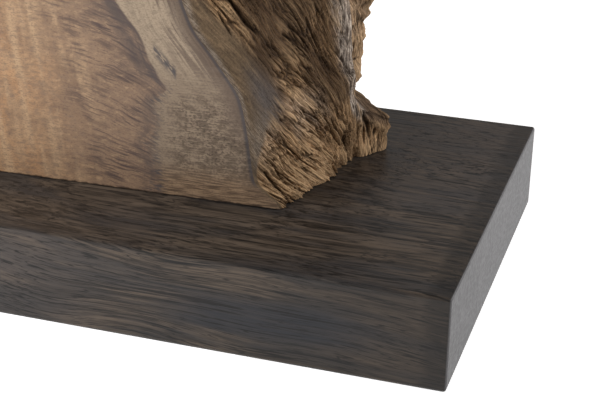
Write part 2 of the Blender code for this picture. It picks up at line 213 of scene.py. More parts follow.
def hermite(a, b, slope_a, slope_b, t):
    return (
        (2 * t**3 - 3 * t**2 + 1) * a
        + (t**3 - 2 * t**2 + t) * slope_a
        + (3 * t**2 - 2 * t**3) * b
        + (t**3 - t**2) * slope_b
    )


def smooth_curve(knots, values, at):
    """A curve through the values that never overshoots them."""
    knots = np.asarray(knots, float)
    values = np.asarray(values, float)
    step = np.diff(knots)
    rise = np.diff(values) / step
    slope = np.zeros_like(values)
    steady = rise[:-1] * rise[1:] > 0
    middle = np.where(steady, rise[:-1] + rise[1:], 1.0)
    slope[1:-1] = np.where(steady, 2 * rise[:-1] * rise[1:] / middle, 0.0)
    slope[0], slope[-1] = rise[0], rise[-1]
    at = np.clip(at, knots[0], knots[-1])
    i = np.clip(np.searchsorted(knots, at, side="right") - 1, 0, len(step) - 1)
    t = (at - knots[i]) / step[i]
    return hermite(values[i], values[i + 1], slope[i] * step[i], slope[i + 1] * step[i], t)


def smoothstep(low, high, value):
    t = np.clip((value - low) / (high - low), 0.0, 1.0)
    return t * t * (3 - 2 * t)


def plateau(value, begin, full, fade, end):
    """1 from full to fade, and 0 up to begin and from end on."""
    return smoothstep(begin, full, value) * smoothstep(end, fade, value)


def bell(distance, half_width):
    return np.exp(-((distance / half_width) ** 2))


def lattice(ix, iy, seed):
    """A repeatable value from 0 to 1 for each pair of whole numbers."""
    mixed = (ix * 374761393 + iy * 668265263 + seed * 974634777) & 0xFFFFFFFF
    mixed = ((mixed ^ (mixed >> 13)) * 1274126177) & 0xFFFFFFFF
    return ((mixed ^ (mixed >> 16)) & 0xFFFFFF) / 0xFFFFFF


def noise(a, b, seed):
    """Smooth noise from 0 to 1, with one bump to each unit of a and b."""
    ia, ib = np.floor(a).astype(np.int64), np.floor(b).astype(np.int64)
    ta, tb = a - ia, b - ib
    ta, tb = ta * ta * (3 - 2 * ta), tb * tb * (3 - 2 * tb)
    low = lattice(ia, ib, seed) * (1 - ta) + lattice(ia + 1, ib, seed) * ta
    high = lattice(ia, ib + 1, seed) * (1 - ta) + lattice(ia + 1, ib + 1, seed) * ta
    return low * (1 - tb) + high * tb


def crests(a, b, seed):
    """Noise folded into sharp crests, from -1 in the valleys to 1 on the crests."""
    return 1 - 4 * np.abs(noise(a, b, seed) - 0.5)


def grooves(a, b, seed, width):
    """Narrow furrows along the lines where noise crosses its middle: 1 at their bottom, 0 on the flats."""
    return np.clip(1 - np.abs(noise(a, b, seed) - 0.5) / width, 0, 1)


def cells(a, b, seed):
    """Cells 1 unit across: how far a place is from its cell's middle and from its border, and its tone."""
    ia, ib = np.floor(a).astype(np.int64), np.floor(b).astype(np.int64)
    nearest, second = np.full_like(a, 9.0), np.full_like(a, 9.0)
    tone = np.zeros_like(a)
    for ca, cb in ((ia + i, ib + j) for i in (-1, 0, 1) for j in (-1, 0, 1)):
        middle_a = ca + 0.1 + 0.8 * lattice(ca, cb, seed)
        middle_b = cb + 0.1 + 0.8 * lattice(ca, cb, seed + 1)
        distance = np.hypot(a - middle_a, b - middle_b)
        closer = distance < nearest
        second = np.where(closer, nearest, np.minimum(second, distance))
        tone = np.where(closer, lattice(ca, cb, seed + 2), tone)
        nearest = np.where(closer, distance, nearest)
    return nearest, second - nearest, tone


# The wood's bare form


def face_y(x):
    return FACE_Y + FACE_TURN * x


def rib_points(z):
    """Where each rib is at each height z: two arrays, one row for each rib."""
    xs, ys = [], []
    for stations in RIBS.values():
        heights, x, *y = zip(*stations)
        xs.append(smooth_curve(heights, x, z))
        ys.append(smooth_curve(heights, y[0], z) if y else face_y(xs[-1]))
    return np.array(xs), np.array(ys)


def wall_point(rib, z):
    """The bare wall at rib number rib and height z, both arrays. Past LAST_RIB it crosses the sawn face."""
    xs, ys = rib_points(z)
    chord = np.hypot(np.diff(xs, axis=0), np.diff(ys, axis=0))
    k = np.clip(np.floor(rib).astype(int), 0, LAST_RIB - 1)
    t = np.clip(rib - k, 0.0, 1.0)
    each = np.arange(len(z))
    out = []
    for p in (xs, ys):
        slope = np.empty_like(p)
        slope[1:-1] = (p[2:] - p[:-2]) / (chord[1:] + chord[:-1])
        slope[0] = (p[1] - p[0]) / chord[0]
        slope[-1] = (p[-1] - p[-2]) / chord[-1]
        here = chord[k, each]
        out.append(hermite(p[k, each], p[k + 1, each], slope[k, each] * here, slope[k + 1, each] * here, t))
    x, y = out
    across = rib - LAST_RIB
    face_x = xs[-1] + (xs[0] - xs[-1]) * across
    return np.where(across > 0, face_x, x), np.where(across > 0, face_y(face_x), y)


def wall_normal(rib, z):
    """The level outward normal of the natural wall."""
    step = 0.03
    x0, y0 = wall_point(np.maximum(rib - step, 0), z)
    x1, y1 = wall_point(np.minimum(rib + step, LAST_RIB), z)
    length = np.maximum(np.hypot(x1 - x0, y1 - y0), 1e-6)
    return (y1 - y0) / length, -(x1 - x0) / length


def girth(rib):
    """How far round the wall each rib number is from the sawn face's right edge."""
    fine = np.linspace(0, LAST_RIB, GIRTH_STEPS * LAST_RIB + 1)
    x, y = wall_point(fine, np.full_like(fine, GIRTH_HEIGHT))
    run = np.concatenate([[0], np.cumsum(np.hypot(np.diff(x), np.diff(y)))])
    return np.interp(rib, fine, run)


# The worn surface

# A place on it is s, the distance round the girth from the sawn face's right edge, and z, its height.

# Splits and creases on the right side: (places as (s, z), half-width, depth)
SPLITS = {
    "upper_left": (((10.5, 80), (11.3, 76), (12.2, 69)), 0.5, 1.6),
    "upper_long": (((15, 86), (17.2, 80), (19.6, 73), (23.1, 67)), 0.8, 3.4),
    "upper_thin": (((21.5, 72), (26, 64), (30, 56)), 0.45, 1.3),
    "middle_long": (((27, 67), (30.2, 61), (36.9, 50), (41.1, 40)), 0.55, 2.2),
    "by_the_hollow": (((51, 70), (52.8, 64), (55.6, 59), (57, 53)), 0.6, 2.2),
    "low_cleft": (((55.5, 24), (57.5, 20), (60.5, 15), (63.5, 11)), 0.9, 2.6),
    "by_the_edge": (((6.5, 14.5), (8.6, 9), (9.4, 5), (9.6, -1)), 0.9, 2.6),
    "middle_short": (((31, 34), (32.1, 31), (36, 24)), 0.55, 2.2),
    "foot": (((51.5, 26), (52.8, 23), (56.3, 15), (61.5, 9)), 0.7, 2.8),
    "cleft": (((65.2, 16), (66.3, 12), (69.6, 6), (70.2, -1)), 2.2, 6.5),
    "toe_crease": (((86, 21), (89, 18.2), (91.3, 18), (95, 15), (98.5, 14.2)), 0.6, 1.3),
    "toe_groove": (((85.5, 20), (87.5, 14), (88, 8)), 0.8, 2.4),
    "toe_pit": (((90.5, 12), (91, 7.5)), 0.6, 1.8),
    "behind_the_ridge": (((76, 84), (76.5, 62), (77.5, 46)), 0.9, 2.4),
    "before_the_ridge": (((65.2, 97), (66.4, 88), (65.6, 80), (67.0, 72)), 0.6, 1.6),
    "flange_upper": (((90, 41.5), (95, 40.4), (101, 38.8)), 0.6, 1.6),
    "flange_lower": (((87, 32), (91, 30), (96, 27.8)), 0.7, 2.2),
    "in_the_ridge": (((72.6, 68), (72.9, 61)), 0.7, 2.2),
}
RIDGE_LINE = ((68.4, 95), (68.4, 75), (69.9, 66), (70.8, 56), (70.9, 48), (72.7, 40), (75, 34))
RIDGE_RISE = 2.6
RIDGE_HALF_WIDTH = 3.4

# Oval places: (s, z, half the width, half the height), how deep the hollow is and how strong the pale patch
HOLLOW = (57.5, 56.0, 9.0, 27.0)
GREY_PATCH = (17.5, 43.0, 16.0, 21.0)
PALE_PATCH = (8.0, 25.0, 16.0, 18.0)
HOLLOW_DEPTH = 3.2
PALE_SHARE = 0.6

# The flange's pit, and notches and lumps on its rim and the toe: an oval place, and how far it stands out
FLANGE_FORMS = (
    (88.5, 71.0, 3.6, 6.0, -3.5),
    (98, 64.0, 10, 3.2, -1.5),
    (98, 59.8, 9, 3.4, 1.5),
    (97, 56.0, 9, 1.8, -0.8),
    (98, 49.3, 9, 2.4, 0.8),
    (98, 38.6, 9, 3.0, -1.3),
    (96, 30.6, 9, 2.4, 1.3),
    (107, 25.5, 24, 5.5, -3.4),
    (107, 19.0, 22, 5.0, -2.2),
    (100, 11.5, 9, 3.0, 1.0),
)

# Where along s something begins, is full, fades and ends
FLANGE = (78, 86, 100, 112)
FLANGE_LUMPS = (78, 86, 104, 114)
TOE_TOP = (80, 86, 104, 112)
TOE_FRONT = (86, 91, 100, 106)

# How tall each kind of roughness is: fibres, broken blocks, rounded lobes, lumps, crumbs and long waves
FIBRE_HEIGHT = 1.15
BLOCK_HEIGHT = 0.3
LOBE_HEIGHT = 0.9
LUMP_HEIGHT = 0.9
CRUMB_HEIGHT = 1.1
WAVE_HEIGHT = 1.6

# Lines for the marks: grey down the ridge to the toe, and painted shade in the cleft and at the hollow's foot
GREY_LINE = (*RIDGE_LINE, (79, 28), (84, 23))
CLEFT_LINE = ((65.5, 15), (69, 8), (70.2, -1))
BOWL_LINE = ((53.5, 44), (60, 39), (66.5, 36), (70, 36))


def line_distance(s, z, line):
    """How far each place is from a broken line, and how far along it the nearest point is, from 0 to 1."""
    nearest = np.full_like(s, 1e9)
    along = np.zeros_like(s)
    points = np.asarray(line, float)
    lengths = np.hypot(*np.diff(points, axis=0).T)
    done = np.concatenate([[0], np.cumsum(lengths)]) / lengths.sum()
    for (s0, z0), (s1, z1), start, end in zip(points, points[1:], done, done[1:]):
        run = (s1 - s0) ** 2 + (z1 - z0) ** 2
        t = np.clip(((s - s0) * (s1 - s0) + (z - z0) * (z1 - z0)) / run, 0, 1)
        distance = np.hypot(s - s0 - t * (s1 - s0), z - z0 - t * (z1 - z0))
        closer = distance < nearest
        nearest = np.where(closer, distance, nearest)
        along = np.where(closer, start + t * (end - start), along)
    return nearest, along


def within(s, z, place):
    """1 in the middle of an oval place, fading to 0 at its edge."""
    middle_s, middle_z, half_s, half_z = place
    return smoothstep(1.0, 0.15, np.hypot((s - middle_s) / half_s, (z - middle_z) / half_z))


def fibre_place(s, z):
    """The fibres' own numbering: fanned out on the right side, and nearly upright past it.

    Also how often the fanned fibres' spacing halves as they gather, and how far the upright numbering holds.
    """
    wander = sum(size * (noise(s / wide, z / tall, seed) - 0.5) for wide, tall, seed, size in WANDER)
    share = np.clip(s / FAN_END, 0, 0.97)
    gathered = FAN_END * 0.5 * (np.arctan(share) + np.arctanh(share))
    leaned = LEAN * LEAN_SPAN * np.arctan(z / LEAN_SPAN)
    foot_lean = FOOT_LEAN * (1 - 0.8 * smoothstep(25, 55, s))
    leaned = leaned + foot_lean * FOOT_LEAN_SPAN * (1 - np.exp(-z / FOOT_LEAN_SPAN))
    fan = gathered + leaned + wander
    straight = s + 1.3 * wander + BACK_LEAN * z
    level = -np.log2(1 - share**4)
    middle = TAKEOVER + TAKEOVER_LOW * smoothstep(38, 12, z)
    return fan, straight, level, smoothstep(middle - TAKEOVER_HALF, middle + TAKEOVER_HALF, s)


def worn_fibres(across, z, seed):
    """Worn fibres: their height, how deep in a furrow a place is, from 0 to 1, and its splinter's tone."""
    slipped = z + 9 * noise(across / 2.2, z / 60, seed)
    swell = 0.45 * crests(across / 8.5, z / 42, seed + 1)
    middle, border, tone = cells(across / 3.8, slipped / 17, seed + 3)
    gap = smoothstep(0.2, 0.0, border)
    fine_middle, fine_border, fine_tone = cells(across / 1.4, slipped / 8, seed + 7)
    fine_gap = smoothstep(0.3, 0.0, fine_border)
    opened = smoothstep(0.4, 0.72, noise(across / 5, z / 12, seed + 5))
    height = swell + 0.5 * (0.5 - middle) + 0.5 * (tone - 0.5) - (0.3 + 0.9 * opened) * gap
    height = height + 0.55 * (0.5 - 1.5 * fine_middle**2) + 0.4 * (fine_tone - 0.5)
    height = height - (0.3 + 0.5 * opened) * fine_gap
    furrow = np.maximum((0.4 + 0.6 * opened) * gap, (0.3 + 0.5 * opened) * fine_gap)
    return height, furrow, 0.4 * tone + 0.6 * fine_tone


def worn_pattern(s, z):
    """The worn fibres with the fanned ones kept from crowding where they gather."""
    fan, straight, level, beyond = fibre_place(s, z)
    step = np.floor(level)
    blend = smoothstep(0.3, 0.7, level - step)
    coarse = worn_fibres(fan / 2**step, z, 41)
    finer = worn_fibres(fan / 2 ** (step + 1), z, 41)
    upright = worn_fibres(straight, 0.6 * z, 81)
    return [
        (1 - beyond) * ((1 - blend) * a + blend * b) + beyond * c
        for a, b, c in zip(coarse, finer, upright)
    ]


def roughness(s, z, total_girth):
    """How broken up the worn surface is, from 0 where it is sanded smooth to 1."""
    strip = smooth_curve(*zip(*SMOOTH_STRIP), z) * (0.8 + 0.4 * noise(z / 12, s / 30, 61))
    rough = 0.25 + 0.75 * smoothstep(0.55, 1.1, s / strip)
    rough = rough * (1 - 0.35 * np.maximum(within(s, z, GREY_PATCH), PALE_SHARE * within(s, z, PALE_PATCH)))
    return rough * smoothstep(0.0, 2.0, s) * smoothstep(0.0, 14.0, total_girth - s)


def toe_top(s, z):
    """1 on the toe's sloping top, 0 off it."""
    above = smoothstep(12, 17, z + 0.35 * (s - 90)) * smoothstep(29, 24, z)
    return above * plateau(s, *TOE_TOP)


def relief(s, z, total_girth):
    """How far the worn surface stands out from the bare form, and what its material reads.

    That is its fine height, how deep in a furrow or split it is, how rough it is and its splinter's tone.
    """
    rough = roughness(s, z, total_girth)
    fan, straight, _, beyond = fibre_place(s, z)
    patches = 0.65 + 0.7 * noise(s / 15, z / 22, 62)
    foot = smoothstep(34, 6, z) * smoothstep(3, 12, s)
    flange = plateau(s, *FLANGE)
    crumble = np.clip(0.5 * foot + flange, 0, 1)
    blocks = crests((straight + 0.6 * z) / 3.4, z / 5.5, 63) + 0.6 * crests((straight - z) / 2.4, z / 3.4, 64)
    lobes = crests(fan / 4.4, z / 12, 65) * smoothstep(80, 66, s)
    lumps = crests((straight + 0.7 * z) / 9, z / 10, 66) * plateau(s, *FLANGE_LUMPS)
    lumps = LUMP_HEIGHT * (1 + smoothstep(24, 34, z)) * lumps
    crumbs = crests((straight + 1.1 * z) / 5.5, (z - 0.3 * straight) / 4.5, 67)
    lumps = lumps + CRUMB_HEIGHT * toe_top(s, z) * (crumbs - 0.8)
    height, furrow, tone = worn_pattern(s, z)
    toe_front = plateau(s, *TOE_FRONT) * smoothstep(24, 18, z)
    height = (FIBRE_HEIGHT + 0.15 * foot) * patches * (1 - 0.35 * flange) * (1 - 0.5 * toe_front) * height
    fine = rough * (height + BLOCK_HEIGHT * crumble * blocks + LOBE_HEIGHT * foot * lobes + lumps)
    furrow = rough * furrow

    distance, _ = line_distance(s, z, RIDGE_LINE)
    on_ridge = bell(distance, RIDGE_HALF_WIDTH)
    fine = fine * (1 - 0.5 * on_ridge)
    for line, half_width, depth in SPLITS.values():
        distance, along = line_distance(s, z, line)
        taper = np.sqrt(np.clip(4 * along * (1 - along), 0, 1))
        opened = taper * bell(distance, half_width * (0.35 + 0.65 * taper))
        fine = fine - depth * opened
        # The splits count as furrows, which the material darkens with painted shade
        furrow = np.maximum(furrow, 1.6 * opened)
    form = RIDGE_RISE * on_ridge - HOLLOW_DEPTH * within(s, z, HOLLOW)
    for *place, out in FLANGE_FORMS:
        form = form + out * within(s, z, place)
    form = form + beyond * rough * WAVE_HEIGHT * crests(straight / 25, z / 170, 21)
    return fine + form, (fine, np.clip(furrow, 0, 1), rough, tone)


def stains_and_shade(s, z):
    """Where the worn wood is greyed, warmer, darker (partly painted shade) and blue-grey, each from 0 to 1.
    """
    cloud = noise(s / 9, z / 13, 71)
    distance, _ = line_distance(s, z, GREY_LINE)
    distance = np.where(z > GREY_LINE[0][1], np.abs(s - GREY_LINE[0][0]), distance)
    ridge = smoothstep(8.2, 3.6, distance) * smoothstep(210, 90, z)
    pale = PALE_SHARE * within(s, z, PALE_PATCH)
    grey = ridge * (0.75 + 0.5 * cloud) + 0.45 * pale
    grey = grey + 0.35 * plateau(s, 24, 34, 50, 60) * plateau(z, 18, 26, 34, 44)
    grey = grey + 0.35 * bell(s - 1.2, 1.2) * smoothstep(25, 45, z)
    on_flange = smoothstep(78, 84, s) * smoothstep(28, 36, z)
    grey = grey + 0.25 * on_flange
    warm = smoothstep(24, 5, z) * smoothstep(2, 22, s) + 0.5 * plateau(s, 28, 40, 40, 52)
    warm = warm + 0.45 * smoothstep(76, 80, s) + 0.9 * pale
    warm = np.clip(warm, 0, 1) * (1 - 0.5 * smoothstep(40, 54, s) * smoothstep(34, 24, z))
    # Painted shadow under the hollow's lower rim
    distance, _ = line_distance(s, z, BOWL_LINE)
    dark = 1.3 * bell(distance, 8.5)
    # Darker higher up: partly the wood's colour, partly painted shade
    sheltered = smoothstep(38, 62, z) * plateau(s, 12, 22, 60, 68)
    dark = dark + sheltered * (1 - 0.4 * within(s, z, HOLLOW))
    toe = toe_top(s, z)
    dark = dark + 0.5 * toe + 0.22 * on_flange * (0.5 + cloud)
    # Less dark on the grey ridge, and painted shade in the cleft
    distance, _ = line_distance(s, z, CLEFT_LINE)
    dark = dark * (1 - 0.8 * ridge) + bell(distance, 2.6)
    cool = within(s, z, GREY_PATCH) * (0.8 + 0.5 * cloud) + 0.5 * toe
    return [np.clip(v, 0, 1) for v in (grey, warm, dark, cool)]


def top_height(x, y):
    """The height of the broken top over x, y."""
    away = np.sqrt((y - CREST_Y) ** 2 + CREST_HALF_WIDTH**2) - CREST_HALF_WIDTH
    height = smooth_curve(*zip(*CREST), x) - CREST_FALL * away
    for size, tall, seed in CREST_LUMPS:
        height = height + 0.5 * tall * crests(x / size, y / (LUMP_ASPECT * size), seed)
    for wide, deep, tall, seed in SPLINTERS:
        height = height + 0.5 * tall * crests(x / wide, y / deep, seed)
    return height


# The wood's mesh


def columns():
    """Each column's rib number, from 0 round to just short of LAST_RIB + 1."""
    runs = np.diff(girth(np.arange(LAST_RIB + 1.0)))
    counts = [max(2, round(run / space)) for run, space in zip(runs, COLUMN_SPACING)]
    steps = [k + np.arange(n) / n for k, n in enumerate(counts)]
    steps.append(LAST_RIB + np.arange(FACE_COLUMNS) / FACE_COLUMNS)
    return np.concatenate(steps)


def rim_height(rib):
    """Where each column meets the broken top, and the same thing smoothed for the rows below."""
    z = np.full_like(rib, RIM_START)
    for _ in range(RIM_STEPS):
        x, y = wall_point(rib, z)
        z = 0.5 * (z + top_height(x, y))
    x, y = wall_point(rib, np.full_like(rib, RIM_START))
    steps = np.hypot(np.roll(x, -1) - x, np.roll(y, -1) - y)
    run = np.concatenate([[0], np.cumsum(steps)[:-1]])
    apart = np.abs(run[:, None] - run[None, :])
    apart = np.minimum(apart, steps.sum() - apart)
    z = np.max(z[None, :] - RIM_SLOPE * apart, axis=1)
    weight = np.exp(-((apart / RIM_SMOOTHING) ** 2))
    return z, weight @ z / weight.sum(axis=1)


def wood_wall(rib):
    """The wall as a grid of points, one row above another, and what the materials read at each."""
    exact, smooth = rim_height(rib)
    natural = rib <= LAST_RIB
    s = girth(np.minimum(rib, LAST_RIB))
    total = girth(LAST_RIB)
    points, facts = [], []
    for row in range(FOOT_ROWS + UPPER_ROWS + 1):
        if row <= FOOT_ROWS:
            z = np.full_like(rib, FOOT_HEIGHT * row / FOOT_ROWS)
        else:
            share = ((row - FOOT_ROWS) / UPPER_ROWS) ** UPPER_SPREAD
            z = FOOT_HEIGHT + share * (smooth - FOOT_HEIGHT)
            z = z + (exact - smooth) * smoothstep(RIM_BLEND, 1.0, share)
        x, y = wall_point(rib, z)
        nx, ny = wall_normal(np.minimum(rib, LAST_RIB), z)
        out, surface = relief(s, z, total)
        out = np.where(natural, out, 0.0)
        points.append(np.stack([x + nx * out, y + ny * out, z], axis=1))
        fan, straight, _, beyond = fibre_place(s, z)
        facts.append(np.stack([*surface, fan, straight, z, *stains_and_shade(s, z), beyond], axis=1))
    return np.array(points), np.array(facts)


def wall_faces(rib, rows):
    """The wall's faces: each one's left column and its ring of (row, column).

    Past NEAR_RIB the foot's faces are two rows tall.
    """
    near = (rib <= NEAR_RIB) | (rib >= LAST_RIB)
    count = len(rib)
    faces = []
    for r in range(rows - 1):
        for c in range(count):
            d = (c + 1) % count
            if r >= FOOT_ROWS or (near[c] and near[d]):
                faces.append((c, [(r, c), (r, d), (r + 1, d), (r + 1, c)]))
            elif r % 2 == 0:
                right = [(r, d), (r + 1, d), (r + 2, d)] if near[d] else [(r, d), (r + 2, d)]
                left = [(r + 2, c), (r + 1, c), (r, c)] if near[c] else [(r + 2, c), (r, c)]
                faces.append((c, right + left))
    return faces


def inside(points, ring, margin):
    """The points that lie in the ring and at least margin away from each of its corners."""
    x0, y0 = ring[:, 0], ring[:, 1]
    x1, y1 = np.roll(x0, -1), np.roll(y0, -1)
    kept = []
    for x, y in points:
        crossed = (y0 > y) != (y1 > y)
        meets = x0[crossed] + (y - y0[crossed]) * (x1[crossed] - x0[crossed]) / (y1[crossed] - y0[crossed])
        if np.count_nonzero(meets > x) % 2 and np.min(np.hypot(x0 - x, y0 - y)) > margin:
            kept.append((x, y))
    return kept


def wood_top(rim):
    """The broken top inside the rim: extra points, and triangles that count the rim's points first."""
    ring = rim[:, :2]
    low, high = ring.min(axis=0), ring.max(axis=0)
    xs, ys = (np.arange(start, end, TOP_GRID) for start, end in zip(low, high))
    extra = inside([(x, y) for x in xs for y in ys], ring, TOP_MARGIN)
    points = [Vector(p) for p in ring] + [Vector(p) for p in extra]
    count = len(ring)
    edges = [(i, (i + 1) % count) for i in range(count)]
    made, _, faces, _, _, _ = delaunay_2d_cdt(points, edges, [], 1, 1e-6)
    if len(made) != len(points):
        raise ValueError("the rim crosses itself")
    extra = np.array(extra)
    heights = top_height(extra[:, 0], extra[:, 1])

    # Lead the top's height up to the rim's where the two differ
    missing = rim[:, 2] - top_height(ring[:, 0], ring[:, 1])
    apart = np.hypot(extra[:, None, 0] - ring[None, :, 0], extra[:, None, 1] - ring[None, :, 1])
    weight = 1 / (apart + 0.5) ** 3
    share = np.exp(-apart.min(axis=1) / RIM_REACH)
    heights = heights + share * (weight @ missing) / weight.sum(axis=1)
    return np.column_stack([extra, heights]), faces


# The dark band round the heartwood on the sawn face, as (x, height) from the foot up
HEARTWOOD_BAND = (
    (43.0, 0), (43.2, 7), (42.4, 11), (41.2, 15.5), (40.4, 20), (40.6, 24.5), (42.6, 29), (42.6, 33.6),
    (41.8, 37), (42.3, 40.2), (43.6, 43.8), (46.9, 46.8), (44.0, 51.2), (41.9, 55.3), (39.6, 59.3),
    (38.3, 63.4), (36.7, 67.5), (34.4, 71.4), (31.2, 75.2), (28.2, 79.1), (25.6, 83), (17, 98), (5, 128),
    (-5, 170), (-14, 220), (-22, 300),
)


def band_x(z):
    """Where the dark heartwood band crosses the sawn face at height z."""
    xs, heights = zip(*HEARTWOOD_BAND)
    return smooth_curve(heights, xs, z)


# The streaks on the sawn face fall away right of STREAK_START, ever more steeply, and less near the foot
STREAK_START = 3.0
STREAK_SLOPE = 0.12
STREAK_TURN = 0.0055


def streak_place(x, z):
    """The streaks' own numbering on the sawn face: their height at its left."""
    across = x - STREAK_START
    fall = STREAK_SLOPE * across + STREAK_TURN * np.maximum(across, 0) ** 2
    return z + fall * (0.4 + 0.6 * smoothstep(0, 32, z))


# What each vertex keeps, and how many numbers it is: fine height, furrow and roughness; the splinter's tone;
# the fibres' two numberings and z; grey and warm stains; darkening, partly painted shade; blue-grey; how far
# past the fan it is
FACTS = {"worn": 3, "splinter_tone": 1, "fibre": 3, "stain_and_shade": 3, "blue_grey": 1, "past_fan": 1}


def top_facts(points):
    """The FACTS on the broken top, where the fibres end in splinters and nothing is stained."""
    x, y, z = points.T
    wide, deep, _, seed = SPLINTERS[0]
    crest = 0.8 * crests(x / wide, y / deep, seed)
    furrow = grooves(x / 3.0, y / 1.4, 15, 0.2)
    tone = noise(x / 3.0, y / 1.4, 16)
    along = x + 0.6 * y
    none = np.zeros_like(x)
    return np.stack([crest, furrow, none + 1, tone, along, along, z, none, none, none, none, none], axis=1)


def make_wood():
    """The whole piece as one closed mesh, with the facts its materials read."""
    rib = columns()
    wall, facts = wood_wall(rib)
    rows, count, _ = wall.shape
    extra, top_faces = wood_top(wall[-1])
    points = np.concatenate([wall.reshape(-1, 3), extra])
    faces = [tuple(reversed(range(count)))]
    slots = [0]
    for left, ring in wall_faces(rib, rows):
        faces.append(tuple(r * count + c for r, c in ring))
        slots.append(1 if rib[left] >= LAST_RIB else 0)
    rim_start = (rows - 1) * count
    for face in top_faces:
        faces.append(tuple(rim_start + i for i in face))
        slots.append(0)
    mesh = bpy.data.meshes.new("bog_oak_worn")
    placed = points + (0.0, 0.0, WOOD_FLOOR)
    mesh.from_pydata([Vector(p) * MM for p in placed], [], faces)
    mesh.polygons.foreach_set("material_index", slots)

    # What the materials read, in millimetres or from 0 to 1
    flat = np.concatenate([facts.reshape(-1, facts.shape[-1]), top_facts(extra)])
    first = 0
    for name, width in FACTS.items():
        store(mesh, name, flat[:, first:first + width])
        first += width
    x, _, z = points.T
    arris = smooth_curve(*zip(*RIBS["right_arris"]), z)
    store(mesh, "figure", np.stack([streak_place(x, z), x - band_x(z), arris - x], axis=1))

    bm = bmesh.new()
    bm.from_mesh(mesh)
    bmesh.ops.delete(bm, geom=[v for v in bm.verts if not v.link_faces], context="VERTS")
    bmesh.ops.triangulate(bm, faces=[f for f in bm.faces if len(f.verts) > 4])
    bmesh.ops.recalc_face_normals(bm, faces=bm.faces)
    bm.to_mesh(mesh)
    bm.free()
    mesh.shade_smooth()
    mesh.set_sharp_from_angle(angle=math.radians(SHARP_ANGLE))
    return add_piece("bog_oak_worn", mesh, [worn_material(), sawn_material()])


def store(mesh, name, values):
    """Keep one number, or three, with each vertex."""
    kind, key = ("FLOAT", "value") if values.shape[1] == 1 else ("FLOAT_VECTOR", "vector")
    attribute = mesh.attributes.new(name, kind, "POINT")
    attribute.data.foreach_set(key, values.astype(np.float32).ravel())


def add_piece(name, mesh, materials):
    obj = bpy.data.objects.new(name, mesh)
    bpy.context.scene.collection.objects.link(obj)
    for made in materials:
        mesh.materials.append(made)
    return obj


# Materials


def srgb(r, g, b):
    """A colour given as it looks on screen, 0 to 255, as the shader's linear colour."""
    def linear(v):
        v = v / 255
        return v / 12.92 if v <= 0.04045 else ((v + 0.055) / 1.055) ** 2.4

    return (linear(r), linear(g), linear(b), 1.0)


NOISE_ROUGHNESS = 0.55


class Nodes:
    """The nodes of a material or of the world, with a short call for each kind that is used here."""

    def __init__(self, owner):
        owner.use_nodes = True
        self.tree = owner.node_tree

    def new(self, kind, *values, **settings):
        """A new node, with values or links in its first inputs."""
        node = self.tree.nodes.new(kind)
        for key, value in settings.items():
            setattr(node, key, value)
        for socket, value in zip(node.inputs, values):
            self.put(socket, value)
        return node

    def put(self, socket, value):
        if isinstance(value, bpy.types.NodeSocket):
            self.tree.links.new(value, socket)
        else:
            socket.default_value = value

    def fill(self, node, inputs):
        """Fill a node's inputs by name, but for those whose value is None."""
        for name, value in inputs.items():
            if value is not None:
                self.put(node.inputs[name], value)

    def attribute(self, name, output="Vector"):
        return self.new("ShaderNodeAttribute", attribute_name=name).outputs[output]

    def place(self):
        """The point in the frame, in millimetres."""
        point = self.new("ShaderNodeTexCoord").outputs["Object"]
        return self.scaled(point, (1 / MM, 1 / MM, 1 / MM))

    def split(self, vector):
        return self.new("ShaderNodeSeparateXYZ", vector).outputs

    def join(self, x, y, z):
        return self.new("ShaderNodeCombineXYZ", x, y, z).outputs[0]

    def scaled(self, vector, scale):
        return self.new("ShaderNodeVectorMath", vector, scale, operation="MULTIPLY").outputs[0]

    def math(self, operation, *values):
        return self.new("ShaderNodeMath", *values, operation=operation).outputs[0]

    def times(self, first, *others):
        for value in others:
            first = self.math("MULTIPLY", first, value)
        return first

    def span(self, value, low, high, out_low=0.0, out_high=1.0):
        """value from low to high, eased and turned into out_low to out_high."""
        ends = (low, high, out_low, out_high)
        return self.new("ShaderNodeMapRange", value, *ends, interpolation_type="SMOOTHSTEP").outputs[0]

    def lines(self, noise, wide, narrow):
        """Lines along the places where noise crosses its middle: 1 within narrow of it, 0 beyond wide."""
        return self.span(self.math("ABSOLUTE", self.math("SUBTRACT", noise, 0.5)), wide, narrow)

    def noise(self, vector, scale, detail=3.0):
        """Noise over vector, which is first divided by scale, the size of its bumps along each axis."""
        node = self.new("ShaderNodeTexNoise")
        place = self.scaled(vector, tuple(1 / v for v in scale))
        self.fill(node, {"Vector": place, "Scale": 1.0, "Detail": detail, "Roughness": NOISE_ROUGHNESS})
        return node.outputs["Fac"]

    def mix(self, share, a, b, kind="RGBA"):
        """A colour between a and b."""
        node = self.new("ShaderNodeMix", data_type=kind)
        self.fill(node, {"Factor": share, "A": a, "B": b})
        return node.outputs["Result"]

    def tint(self, colour, other, value, low, high, most):
        """colour, with the other over it as value goes from low to high, up to a share of most."""
        return self.mix(self.span(value, low, high, 0.0, most), colour, other)

    def blend(self, share, a, b):
        """A number between a and b."""
        return self.mix(share, a, b, "FLOAT")

    def bump(self, height, distance, strength=1.0, normal=None):
        node = self.new("ShaderNodeBump")
        self.fill(node, {"Strength": strength, "Distance": distance * MM, "Height": height, "Normal": normal})
        return node.outputs[0]


class Surface(Nodes):
    """A new material, whose nodes end in one shader."""

    def __init__(self, name, roughness, specular=0.5):
        self.material = bpy.data.materials.new(name)
        super().__init__(self.material)
        self.shader = self.tree.nodes["Principled BSDF"]
        self.fill(self.shader, {"Roughness": roughness, "Specular IOR Level": specular})

    def finish(self, colour, normal=None, roughness=None):
        self.fill(self.shader, {"Base Color": colour, "Normal": normal, "Roughness": roughness})
        return self.material


